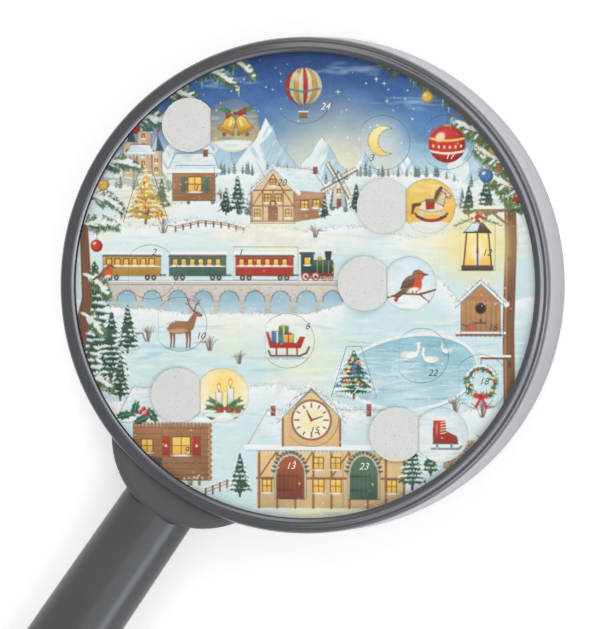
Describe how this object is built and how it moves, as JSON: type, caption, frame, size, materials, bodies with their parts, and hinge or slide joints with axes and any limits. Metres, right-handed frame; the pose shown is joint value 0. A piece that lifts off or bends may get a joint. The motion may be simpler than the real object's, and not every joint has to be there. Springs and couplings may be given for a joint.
{
  "type": "advent calendar",
  "caption": "Round picture card with small numbered fold-open doors, held in a deep dark ring frame with a straight round handle like a hand lens.",
  "frame": {"origin": "on the ring's axis, in the outer face of the rear cover, on which the calendar lies", "axes": "+Z the way the picture faces, +Y the top of the picture; the handle points down and to the left of the picture"},
  "size_m": [0.3176, 0.3974, 0.048],
  "materials": {
    "dark_plastic": "satin moulded plastic",
    "grip_plastic": "satin moulded plastic",
    "bezel_plastic": "satin moulded plastic",
    "printed_card": "satin",
    "leaf_card": "matte",
    "picture_paper": "satin",
    "backing_greyboard": "matte",
    "zinc_steel": "satin"
  },
  "bodies": {
    "frame": {"ring_housing": "dark_plastic", "bezel_ring": "bezel_plastic", "calendar_card": "printed_card", "picture_sheet": "picture_paper", "backing_board": "backing_greyboard", "rear_cover": "dark_plastic", "cover_screw_1": "zinc_steel", "cover_screw_2": "zinc_steel", "cover_screw_3": "zinc_steel", "cover_screw_4": "zinc_steel", "cover_screw_5": "zinc_steel", "cover_screw_6": "zinc_steel", "handle_collar": "dark_plastic", "handle_stud": "zinc_steel", "ring_washer": "zinc_steel", "ring_nut": "zinc_steel", "grip_washer": "zinc_steel", "grip_nut": "zinc_steel", "handle_grip": "grip_plastic", "end_cap": "dark_plastic"},
    "leaf_01": {"door_01": "leaf_card"},
    "leaf_02": {"door_02": "leaf_card"},
    "leaf_03": {"door_03": "leaf_card"},
    "leaf_04": {"door_04": "leaf_card"},
    "leaf_05": {"door_05": "leaf_card"},
    "leaf_06": {"door_06": "leaf_card"},
    "leaf_07": {"door_07": "leaf_card"},
    "leaf_08": {"door_08": "leaf_card"},
    "leaf_09": {"door_09": "leaf_card"},
    "leaf_10": {"door_10": "leaf_card"},
    "leaf_11": {"door_11": "leaf_card"},
    "leaf_12": {"door_12": "leaf_card"},
    "leaf_13": {"door_13": "leaf_card"},
    "leaf_14": {"door_14": "leaf_card"},
    "leaf_15": {"door_15": "leaf_card"},
    "leaf_16": {"door_16": "leaf_card"},
    "leaf_17": {"door_17": "leaf_card"},
    "leaf_18": {"door_18": "leaf_card"},
    "leaf_19": {"door_19": "leaf_card"},
    "leaf_20": {"door_20": "leaf_card"},
    "leaf_21": {"door_21": "leaf_card"},
    "leaf_22": {"door_22": "leaf_card"},
    "leaf_23": {"door_23": "leaf_card"},
    "leaf_24": {"door_24": "leaf_card"}
  },
  "joints": [
    {"name": "crease_01", "type": "hinge", "parent": "frame", "child": "leaf_01", "pos_m": [-0.033, 0.01, 0.0431], "axis": [0, -1, 0], "range_deg": [0, 178]},
    {"name": "crease_02", "type": "hinge", "parent": "frame", "child": "leaf_02", "pos_m": [-0.08202, 0.00602, 0.0431], "axis": [0, -1, 0], "range_deg": [0, 178]},
    {"name": "crease_03", "type": "hinge", "parent": "frame", "child": "leaf_03", "pos_m": [0.02623, 0.06525, 0.0431], "axis": [0, -1, 0], "range_deg": [0, 178]},
    {"name": "crease_04", "type": "hinge", "parent": "frame", "child": "leaf_04", "pos_m": [-0.07396, 0.02902, 0.0431], "axis": [1, 0, 0], "range_deg": [0, 178]},
    {"name": "crease_05", "type": "hinge", "parent": "frame", "child": "leaf_05", "pos_m": [0.03838, 0.00086, 0.0431], "axis": [0, -1, 0], "range_deg": [-172, 6]},
    {"name": "crease_06", "type": "hinge", "parent": "frame", "child": "leaf_06", "pos_m": [-0.01806, -0.02548, 0.0431], "axis": [0, -1, 0], "range_deg": [0, 178]},
    {"name": "crease_07", "type": "hinge", "parent": "frame", "child": "leaf_07", "pos_m": [0.02301, -0.05096, 0.0431], "axis": [1, 0, 0], "range_deg": [0, 178]},
    {"name": "crease_08", "type": "hinge", "parent": "frame", "child": "leaf_08", "pos_m": [0.04719, 0.03633, 0.0431], "axis": [0, -1, 0], "range_deg": [-172, 6]},
    {"name": "crease_09", "type": "hinge", "parent": "frame", "child": "leaf_09", "pos_m": [-0.04838, -0.07396, 0.0431], "axis": [0, 1, 0], "range_deg": [0, 178]},
    {"name": "crease_10", "type": "hinge", "parent": "frame", "child": "leaf_10", "pos_m": [-0.06805, -0.01806, 0.0431], "axis": [0, -1, 0], "range_deg": [0, 178]},
    {"name": "crease_11", "type": "hinge", "parent": "frame", "child": "leaf_11", "pos_m": [-0.05998, 0.04698, 0.0431], "axis": [0, -1, 0], "range_deg": [0, 178]},
    {"name": "crease_12", "type": "hinge", "parent": "frame", "child": "leaf_12", "pos_m": [0.07203, 0.01795, 0.0431], "axis": [0, -1, 0], "range_deg": [0, 178]},
    {"name": "crease_13", "type": "hinge", "parent": "frame", "child": "leaf_13", "pos_m": [-0.01397, -0.08697, 0.0431], "axis": [0, -1, 0], "range_deg": [0, 178]},
    {"name": "crease_14", "type": "hinge", "parent": "frame", "child": "leaf_14", "pos_m": [-0.04848, -0.05053, 0.0431], "axis": [0, -1, 0], "range_deg": [-172, 6]},
    {"name": "crease_15", "type": "hinge", "parent": "frame", "child": "leaf_15", "pos_m": [-0.00688, -0.06149, 0.0431], "axis": [0, -1, 0], "range_deg": [0, 178]},
    {"name": "crease_16", "type": "hinge", "parent": "frame", "child": "leaf_16", "pos_m": [0.07095, -0.01, 0.0431], "axis": [0, -1, 0], "range_deg": [0, 178]},
    {"name": "crease_17", "type": "hinge", "parent": "frame", "child": "leaf_17", "pos_m": [0.05579, 0.06547, 0.0431], "axis": [0, -1, 0], "range_deg": [0, 178]},
    {"name": "crease_18", "type": "hinge", "parent": "frame", "child": "leaf_18", "pos_m": [0.07149, -0.04397, 0.0431], "axis": [0, -1, 0], "range_deg": [0, 178]},
    {"name": "crease_19", "type": "hinge", "parent": "frame", "child": "leaf_19", "pos_m": [-0.04343, 0.07364, 0.0431], "axis": [0, -1, 0], "range_deg": [-172, 6]},
    {"name": "crease_20", "type": "hinge", "parent": "frame", "child": "leaf_20", "pos_m": [-0.00398, 0.04096, 0.0431], "axis": [0, 1, 0], "range_deg": [0, 178]},
    {"name": "crease_21", "type": "hinge", "parent": "frame", "child": "leaf_21", "pos_m": [0.053, -0.06805, 0.0431], "axis": [0, -1, 0], "range_deg": [-172, 6]},
    {"name": "crease_22", "type": "hinge", "parent": "frame", "child": "leaf_22", "pos_m": [0.04397, -0.03204, 0.0431], "axis": [0, -1, 0], "range_deg": [0, 178]},
    {"name": "crease_23", "type": "hinge", "parent": "frame", "child": "leaf_23", "pos_m": [0.01999, -0.08697, 0.0431], "axis": [0, -1, 0], "range_deg": [0, 178]},
    {"name": "crease_24", "type": "hinge", "parent": "frame", "child": "leaf_24", "pos_m": [-0.01193, 0.08804, 0.0431], "axis": [0, -1, 0], "range_deg": [0, 178]}
  ]
}
